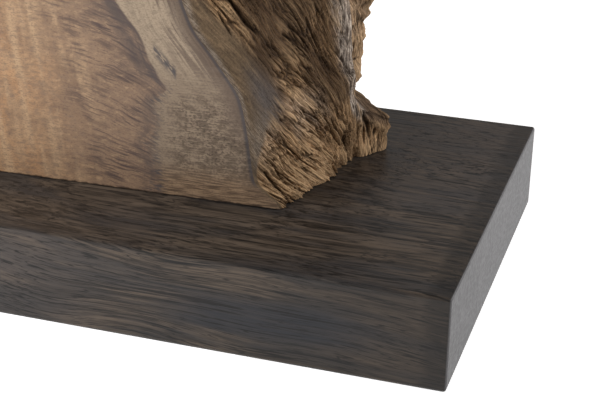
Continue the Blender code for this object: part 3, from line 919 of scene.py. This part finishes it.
WORN_BROWN = srgb(122, 94, 66)
WORN_TAN = srgb(180, 144, 106)
FOOT_BROWN = srgb(168, 134, 99)
FOOT_TAN = srgb(214, 175, 133)
SMOOTH_DARK = srgb(78, 64, 49)
SMOOTH_LIGHT = srgb(106, 88, 68)
GREY_DARK = srgb(112, 103, 98)
GREY_LIGHT = srgb(208, 194, 180)
BLUE_GREY = srgb(86, 80, 78)
# Dark places: partly painted shade, partly the wood's own colour
DARK_BROWN_AND_SHADE = srgb(60, 42, 26)
CREST_TAN = srgb(180, 149, 113)
# Painted shade for the furrows, splits, gaps and pits, and where the wood sits on the board
FURROW_SHADE = srgb(45, 33, 23)

HEART_LIGHT = srgb(150, 119, 89)
HEART_ORANGE = srgb(164, 122, 84)
HEART_DARK = srgb(124, 96, 72)
HEART_PALE = srgb(170, 141, 109)
HEART_SHADE = srgb(116, 95, 78)
HEART_STREAK = srgb(68, 54, 50)
BAND_DARK = srgb(70, 59, 55)
SAP_PALE = srgb(142, 125, 105)
SAP_STREAK = srgb(86, 71, 60)
SAP_LOW = srgb(124, 107, 89)
SAP_MOTTLE = srgb(60, 48, 37)
FOOT_LINE = srgb(78, 61, 46)
FOOT_FACE = srgb(134, 110, 86)
EDGE_LINE = srgb(58, 54, 56)
FLECK = srgb(56, 54, 58)

# The row of dark flecks in the sapwood: its middle on the face, its half-length and half-width, and its slope
FLECKS = {"x": 46.7, "height": 58.8, "half_length": 7.5, "half_width": 2.1, "slope": 1.0}


def worn_material():
    """The wood's natural outside: tan crests, furrows in painted shade, and greyed, warm and dark places."""
    n = Surface("bog_oak_worn", 0.9, 0.2)
    fine, furrow, rough = n.split(n.attribute("worn"))
    fan, straight, z = n.split(n.attribute("fibre"))
    grey, warm, dark = n.split(n.attribute("stain_and_shade"))
    cool = n.attribute("blue_grey", "Fac")
    beyond = n.attribute("past_fan", "Fac")
    splinter = n.attribute("splinter_tone", "Fac")

    def along_fibres(scale, detail):
        fanned = n.noise(n.join(fan, 0.0, z), scale, detail)
        upright = n.noise(n.join(straight, 7.0, z), scale, detail)
        return n.blend(beyond, fanned, upright)

    hairs = along_fibres((0.5, 1, 5), 2)
    threads = along_fibres((1.5, 1, 15), 2)
    thread = n.times(n.lines(threads, 0.075, 0.01), n.span(rough, 0.1, 0.8, 0.3, 1.0))
    strands = n.span(n.blend(0.5, along_fibres((1.9, 1, 13), 3), splinter), 0.3, 0.7)
    grit = n.noise(n.place(), (0.8, 0.8, 0.8), 3)

    tone = n.mix(strands, WORN_BROWN, WORN_TAN)
    tone = n.mix(n.times(warm, 0.8), tone, n.mix(strands, FOOT_BROWN, FOOT_TAN))
    tone = n.mix(n.span(rough, 0.2, 0.7), n.mix(strands, SMOOTH_DARK, SMOOTH_LIGHT), tone)
    tone = n.mix(n.times(cool, 0.85), tone, BLUE_GREY)
    greyed = n.mix(n.span(hairs, 0.35, 0.65), GREY_DARK, GREY_LIGHT)
    tone = n.mix(n.times(grey, 0.8), tone, greyed)
    # Dark places: painted shade in the cleft, under the hollow's rim and higher up, and the wood's own colour
    tone = n.mix(n.times(dark, 0.85), tone, DARK_BROWN_AND_SHADE)
    # Painted shade in the hairs' gaps, the grit's pits, along the threads and in the furrows and splits
    hair_gap_shade = n.times(n.span(hairs, 0.54, 0.36), n.span(rough, 0.1, 0.8, 0.24, 0.62))
    tone = n.mix(hair_gap_shade, tone, FURROW_SHADE)
    tone = n.tint(tone, FURROW_SHADE, grit, 0.55, 0.35, 0.35)
    crest = n.times(n.span(fine, 0.0, 0.8, 0.0, 0.5), n.span(dark, 0.0, 1.0, 1.0, 0.3))
    tone = n.mix(crest, tone, CREST_TAN)
    tone = n.mix(n.times(thread, 0.46), tone, FURROW_SHADE)
    tone = n.tint(tone, FURROW_SHADE, furrow, 0.25, 1.0, 0.75)
    normal = n.bump(n.math("SUBTRACT", 1.0, thread), 0.4, 0.6)
    normal = n.bump(hairs, 0.5, 0.9, normal)
    normal = n.bump(grit, 0.35, 0.7, normal)
    return n.finish(tone, normal)


def sawn_material():
    """The sanded front: warm heartwood, a dark band, pale sapwood and a thin dark line at the edge."""
    n = Surface("bog_oak_sawn", 0.55, 0.3)
    streak, from_band, from_edge = n.split(n.attribute("figure"))
    x, _, z = n.split(n.place())

    def over_face(wide, tall, detail=3):
        return n.noise(n.join(x, 0.0, z), (wide, 1, tall), detail)

    # Heartwood: mottled and darker toward the band, with pale upright stripes
    heart = n.mix(n.span(over_face(22, 12), 0.34, 0.66), HEART_DARK, HEART_LIGHT)
    orange = n.times(n.span(over_face(9, 12), 0.4, 0.62), n.span(x, 10, -30, 0.15, 0.9))
    heart = n.mix(n.times(orange, n.span(z, 110, 80, 0.25, 0.8)), heart, HEART_ORANGE)
    heart = n.tint(heart, HEART_SHADE, from_band, -74, -14, 0.74)
    leaning = n.math("MULTIPLY_ADD", z, 0.15, x)
    stripes = n.noise(n.join(leaning, 0.0, z), (7.5, 1, 50), 2)
    pale = n.times(n.span(stripes, 0.44, 0.66, 0.0, 0.72), n.span(from_band, -18, -42))
    heart = n.mix(pale, heart, HEART_PALE)
    mottle = over_face(3.4, 1.7, 5)
    heart = n.tint(heart, HEART_SHADE, mottle, 0.52, 0.34, 0.65)
    heart = n.tint(heart, HEART_PALE, mottle, 0.5, 0.72, 0.45)
    heart = n.tint(heart, HEART_SHADE, over_face(7, 0.9), 0.46, 0.32, 0.5)

    # Its streaks slope down to the right, thicker and darker toward the band
    cloudy = n.span(over_face(18, 9), 0.36, 0.6, 0.15, 1.0)
    toward_band = n.times(n.span(from_band, -56, -12, 0.08, 1.0), cloudy)
    streak = n.math("MULTIPLY_ADD", over_face(20, 12, 2), 4.5, streak)
    thin = n.noise(n.join(streak, 0.0, x), (1.15, 1, 12), 4)
    broad = n.noise(n.join(streak, 5.0, x), (3.6, 1, 20), 4)
    heart = n.mix(n.times(n.span(broad, 0.48, 0.62, 0.0, 0.7), toward_band), heart, HEART_STREAK)
    heart = n.mix(n.times(n.span(thin, 0.48, 0.6, 0.0, 0.95), toward_band), heart, HEART_STREAK)

    # The band: soft on its left, sharp on its right, and broken into flecks low down
    along_band = n.noise(n.join(from_band, 0.0, z), (4.0, 1, 16), 3)
    band = n.times(n.span(from_band, -18, -2), n.span(along_band, 0.36, 0.6, 0.35, 1.0))
    heart = n.mix(n.times(band, n.span(z, 84, 94, 0.1, 0.95)), heart, BAND_DARK)
    low_band = n.times(n.span(from_band, -11, -3), n.span(along_band, 0.36, 0.6, 0.1, 0.5))
    heart = n.mix(n.times(low_band, n.span(z, 92, 84)), heart, BAND_DARK)

    # Sapwood: pale and streaked along the edge above, mottled below, and lined and warm at the foot
    ticks = over_face(9, 0.65)
    streamers = n.noise(n.join(from_edge, 0.0, z), (1.7, 1, 22), 3)
    streamed = n.times(n.span(streamers, 0.56, 0.4), n.span(from_edge, 24, 9, 0.2, 0.85))
    upper = n.mix(streamed, SAP_PALE, SAP_STREAK)
    upper = n.tint(upper, SAP_STREAK, mottle, 0.5, 0.34, 0.35)
    specks = n.times(n.span(over_face(1.3, 0.85, 4), 0.54, 0.4), n.span(over_face(8, 5), 0.3, 0.6, 0.4, 1.0))
    clumps = n.times(n.span(from_band, 3, 14, 0.25, 1.0), n.span(z, 92, 76, 0.3, 1.0))
    soft = n.times(n.span(over_face(5.5, 3.2, 3), 0.42, 0.6, 0.0, 0.6), clumps)
    lower = n.mix(soft, SAP_LOW, SAP_MOTTLE)
    lower = n.mix(n.times(specks, clumps, 0.8), lower, SAP_MOTTLE)
    lower = n.tint(lower, SAP_STREAK, ticks, 0.48, 0.34, 0.5)
    lower = n.tint(lower, SAP_PALE, ticks, 0.54, 0.66, 0.5)
    sap = n.mix(n.span(z, 86, 104), lower, upper)
    sap = n.mix(n.span(z, 58, 46), sap, n.mix(n.span(ticks, 0.35, 0.65), FOOT_LINE, FOOT_FACE))
    sap = n.mix(n.times(n.span(from_edge, 11, 2), n.span(z, 60, 84, 0.15, 0.85)), sap, SAP_STREAK)
    low_down = n.span(z, 90, 78)
    ragged = n.math("MULTIPLY_ADD", n.noise(n.join(streak, 2.0, x), (1.6, 1, 7), 4), 15.0, from_band)
    border = n.blend(low_down, n.span(from_band, -0.5, 0.8), n.span(ragged, 4.5, 10.5))
    colour = n.mix(border, heart, sap)

    # Dark flecks, where the band breaks up and in one row in the sapwood
    short = n.noise(n.join(streak, 9.0, x), (1.3, 1, 5), 3)
    breaking = n.times(n.span(from_band, -9, -1), n.span(from_band, 5, 0), n.span(z, 100, 84))
    breaking = n.times(breaking, n.span(over_face(11, 6, 2), 0.4, 0.6, 0.35, 1.0), n.span(short, 0.46, 0.6))
    colour = n.mix(n.times(breaking, 0.8), colour, FLECK)
    aside = n.math("SUBTRACT", x, FLECKS["x"])
    above = n.math("SUBTRACT", z, FLECKS["height"] + WOOD_FLOOR)
    across = n.math("MULTIPLY_ADD", aside, FLECKS["slope"], above)
    spread = 2 * FLECKS["half_width"]
    reach = FLECKS["half_length"] * 0.7
    row = n.times(n.span(across, -spread, 0), n.span(across, spread, 0))
    row = n.times(row, n.span(aside, -reach, -reach + 1), n.span(aside, reach, reach - 1))
    marks = n.noise(n.join(aside, 3.0, across), (3.4, 1, 1.5), 3)
    colour = n.mix(n.times(row, n.span(marks, 0.4, 0.5, 0.0, 0.9)), colour, FLECK)

    # The dark line along the edge, a painted shadow where the wood sits on the board, and fine grain over all
    # of it
    edge = n.times(n.span(from_edge, 2.2, 0.8, 0.0, 0.8), n.span(z, 47, 52))
    colour = n.mix(edge, colour, EDGE_LINE)
    seam_shadow = n.math("MULTIPLY_ADD", over_face(5, 5), 2.6, WOOD_FLOOR - 0.9)
    colour = n.tint(colour, FURROW_SHADE, n.math("SUBTRACT", z, seam_shadow), 0.3, -0.3, 0.9)
    grain = over_face(1.0, 0.55)
    colour = n.tint(colour, HEART_STREAK, grain, 0.52, 0.32, 0.4)
    return n.finish(colour, n.bump(grain, 0.08, 0.4), n.span(broad, 0.3, 0.7, 0.5, 0.62))


BOARD_BROWN = srgb(40, 34, 29)
BOARD_LIGHT = srgb(78, 67, 57)
# A lighter colour for painted sheen on the top and painted light on the sides
BOARD_PAINTED_LIGHT = srgb(88, 78, 72)
BOARD_COOL = srgb(36, 37, 40)
BOARD_BLUE = srgb(30, 33, 39)
BOARD_PORE = srgb(17, 15, 14)
# Painted sheen on the board's sawn ends
END_SHEEN_DARK = srgb(59, 57, 58)
END_SHEEN_LIGHT = srgb(75, 72, 73)
GRAIN_SLOPE = 0.045

# Where the board's top begins, as heights, and its ends, as distances from its middle
BOARD_TOP = (39.0, 39.7)
BOARD_END = (179.2, 179.7)


def board_material():
    """Dark stained oak: the grain runs along X, a little askew, with open pores as long thin dark lines."""
    n = Surface("board_oak", 0.42, 0.22)
    x, y, z = n.split(n.place())
    wave = n.noise(n.join(x, y, z), (80, 50, 50), 1)
    askew = n.math("MULTIPLY_ADD", x, GRAIN_SLOPE, n.times(wave, 14.0))
    grain = n.join(x, n.math("ADD", y, askew), n.math("ADD", z, askew))
    pores = n.noise(grain, (50, 1.8, 0.9), 2)
    vein = n.lines(n.noise(grain, (60, 3.0, 1.5), 2), 0.028, 0.004)
    lines = n.noise(grain, (55, 2.6, 1.4), 4)
    fine = n.noise(grain, (6, 0.9, 0.5), 2)
    patches = n.noise(grain, (75, 16, 10), 3)
    base = n.mix(n.span(lines, 0.32, 0.68), BOARD_BROWN, BOARD_LIGHT)
    base = n.tint(base, BOARD_COOL, patches, 0.42, 0.64, 0.6)
    on_top = n.span(z, *BOARD_TOP)
    on_side = n.math("SUBTRACT", 1.0, on_top)
    # Painted sheen: the top lighter toward its right end and its back
    top_sheen = n.times(on_top, n.span(x, 90, 165), n.span(y, -60, 70, 0.0, 0.45))
    # Painted light: the sides lighter toward the left end
    side_painted_light = n.times(on_side, n.span(x, 70, -30, 0.0, 0.35))
    base = n.mix(n.math("ADD", top_sheen, side_painted_light), base, BOARD_PAINTED_LIGHT)
    # Painted shade: the sides darker toward the right end
    base = n.mix(n.times(on_side, n.span(x, 90, 150, 0.0, 0.5)), base, BOARD_BROWN)
    cool = n.times(n.span(x, 55, 90), n.span(x, 165, 125), n.span(z, 7, 14), n.span(z, 30, 22))
    base = n.mix(n.times(cool, 0.8), base, BOARD_BLUE)
    low_left = n.times(n.span(x, 45, 0), n.span(z, 22, 10), n.span(y, -90, -92))
    base = n.mix(n.times(low_left, 0.6), base, BOARD_COOL)
    base = n.mix(n.times(vein, 0.8), base, BOARD_PORE)
    from_middle = n.math("ABSOLUTE", x)
    near_end = n.span(n.math("MULTIPLY_ADD", lines, 22.0, from_middle), 180, 184)
    base = n.mix(n.times(near_end, 0.5), base, BOARD_PORE)
    colour = n.tint(base, BOARD_PORE, pores, 0.44, 0.34, 0.85)
    colour = n.tint(colour, BOARD_PORE, fine, 0.45, 0.3, 0.5)

    # The sawn ends: greyer, a painted sheen, with faint upright streaks, and darker toward the front, painted
    # shade
    upright = n.noise(n.join(0.0, y, z), (1, 1.6, 40), 2)
    across = n.mix(n.span(upright, 0.3, 0.7), END_SHEEN_DARK, END_SHEEN_LIGHT)
    # Painted shade: darker toward the front
    across = n.tint(across, BOARD_PORE, y, 20, -95, 0.3)
    colour = n.mix(n.span(from_middle, *BOARD_END), colour, across)
    return n.finish(colour, n.bump(pores, 0.15, 0.7), n.span(lines, 0.3, 0.7, 0.36, 0.46))


STEEL_DARK = srgb(150, 150, 148)
STEEL_LIGHT = srgb(196, 196, 198)


def steel_material():
    n = Surface("screw_steel", 0.38)
    n.fill(n.shader, {"Metallic": 1.0})
    dull = n.noise(n.place(), (2, 2, 2), 3)
    return n.finish(n.mix(dull, STEEL_DARK, STEEL_LIGHT), roughness=n.span(dull, 0.3, 0.7, 0.3, 0.5))


# Floor, light and camera

# The floor reaches FLOOR_HALF metres each way, and glows a little
FLOOR_HALF = 4.0
FLOOR_GLOW = 0.55
FLOOR_WHITE = (0.85, 0.85, 0.85, 1.0)
PURE_WHITE = (1.0, 1.0, 1.0, 1.0)


def make_floor():
    bm = bmesh.new()
    bmesh.ops.create_grid(bm, x_segments=1, y_segments=1, size=FLOOR_HALF)
    mesh = bpy.data.meshes.new("floor")
    bm.to_mesh(mesh)
    bm.free()
    n = Surface("floor_white", 0.9, 0.0)
    n.fill(n.shader, {"Emission Color": PURE_WHITE, "Emission Strength": FLOOR_GLOW})
    floor = add_piece("floor", mesh, [n.finish(FLOOR_WHITE)])
    floor.location.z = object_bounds()[0].z


# The light all round is brighter low down. WORLD_FADE is where it dims, as the sine of the angle above level.
WORLD_LOW = 0.6
WORLD_HIGH = 0.26
WORLD_FADE = (0.04, 0.3)

# Soft boxes: where each stands and how wide it is, in metres, and its watts
SOFT_BOXES = {
    "key": ((-0.6, -0.5, 0.55), 0.4, 10.5),
    "fill": ((1.25, 0.0, 0.8), 0.7, 13.5),
}
SOFT_BOX_AIM = (0.05, 0.0, 0.08)


def make_light():
    world = bpy.data.worlds.new("studio")
    n = Nodes(world)
    up = n.split(n.new("ShaderNodeTexCoord").outputs["Generated"])[2]
    strength = n.span(up, *WORLD_FADE, WORLD_LOW, WORLD_HIGH)
    n.fill(n.tree.nodes["Background"], {"Color": PURE_WHITE, "Strength": strength})
    bpy.context.scene.world = world
    for name, (place, size, watts) in SOFT_BOXES.items():
        lamp = bpy.data.lights.new(name, "AREA")
        lamp.size = size
        lamp.energy = watts
        box = bpy.data.objects.new(name, lamp)
        box.location = place
        box.rotation_mode = "QUATERNION"
        box.rotation_quaternion = (Vector(SOFT_BOX_AIM) - box.location).to_track_quat("-Z", "Y")
        bpy.context.scene.collection.objects.link(box)
    bpy.context.scene.view_settings.view_transform = "Standard"


# The camera's place in metres, its angles in degrees and its lens, from the board's edges in the photo
CAMERA_PLACE = (0.26512, -0.54611, 0.28565)
CAMERA_AZIMUTH = 17.32
CAMERA_ELEVATION = 24.44
CAMERA_ROLL = 1.03
CAMERA_LENS = 83.68


def make_camera():
    azimuth, elevation, roll = (math.radians(v) for v in (CAMERA_AZIMUTH, CAMERA_ELEVATION, CAMERA_ROLL))
    level = math.cos(elevation)
    back = Vector((math.sin(azimuth) * level, -math.cos(azimuth) * level, math.sin(elevation)))
    right = Vector((math.cos(azimuth), math.sin(azimuth), 0.0))
    up = back.cross(right)
    turned_right = math.cos(roll) * right + math.sin(roll) * up
    turned_up = math.cos(roll) * up - math.sin(roll) * right
    data = bpy.data.cameras.new("camera")
    data.lens = CAMERA_LENS
    camera = bpy.data.objects.new("camera", data)
    camera.matrix_world = Matrix.LocRotScale(
        Vector(CAMERA_PLACE), Matrix((turned_right, turned_up, back)).transposed(), None
    )
    bpy.context.scene.collection.objects.link(camera)
    bpy.context.scene.camera = camera


make_camera()
make_light()
make_floor()

wood = make_wood()
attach(wood, "root")
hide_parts("bog_oak")

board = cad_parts["base_board"]
board.material_slots[0].material = board_material()
steel = steel_material()
for name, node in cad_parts.items():
    if name.startswith("fixing_screw"):
        node.material_slots[0].material = steel
